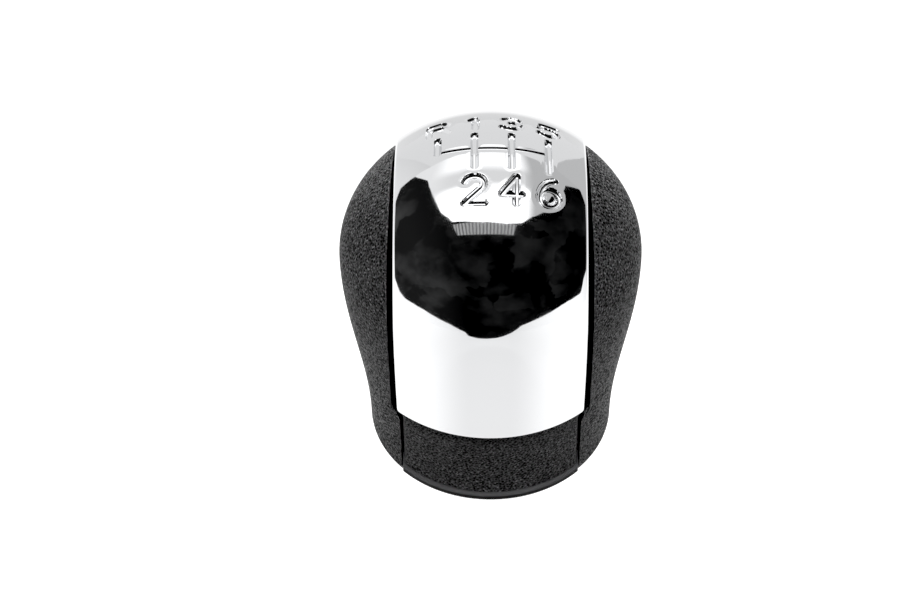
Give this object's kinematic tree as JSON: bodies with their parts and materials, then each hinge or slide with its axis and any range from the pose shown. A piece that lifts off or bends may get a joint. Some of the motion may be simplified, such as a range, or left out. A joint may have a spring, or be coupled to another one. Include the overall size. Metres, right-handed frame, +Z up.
{
  "type": "gear shift knob",
  "caption": "Round gear shift knob with a polished strap cover over its top and front, grained black grip shells at its sides and a blind bore underneath for the lever.",
  "frame": {"origin": "centre of the foot, on the plane the knob stands on", "axes": "+Z up along the lever axis, -Y towards the driver, +X to the driver's right"},
  "size_m": [0.055, 0.0565, 0.0658],
  "materials": {
    "chrome": "polished",
    "grip": "leather grain",
    "frame": "leather grain with a smooth foot",
    "base": "fine satin",
    "steel": "turned",
    "fastener": "zinc plated"
  },
  "bodies": {
    "root": {"chrome_cover": "chrome", "center_frame": "frame", "left_grip_shell": "grip", "right_grip_shell": "grip", "base_plate": "base", "base_screws": "fastener", "lever_sleeve": "steel", "retaining_clip": "fastener"}
  },
  "joints": []
}
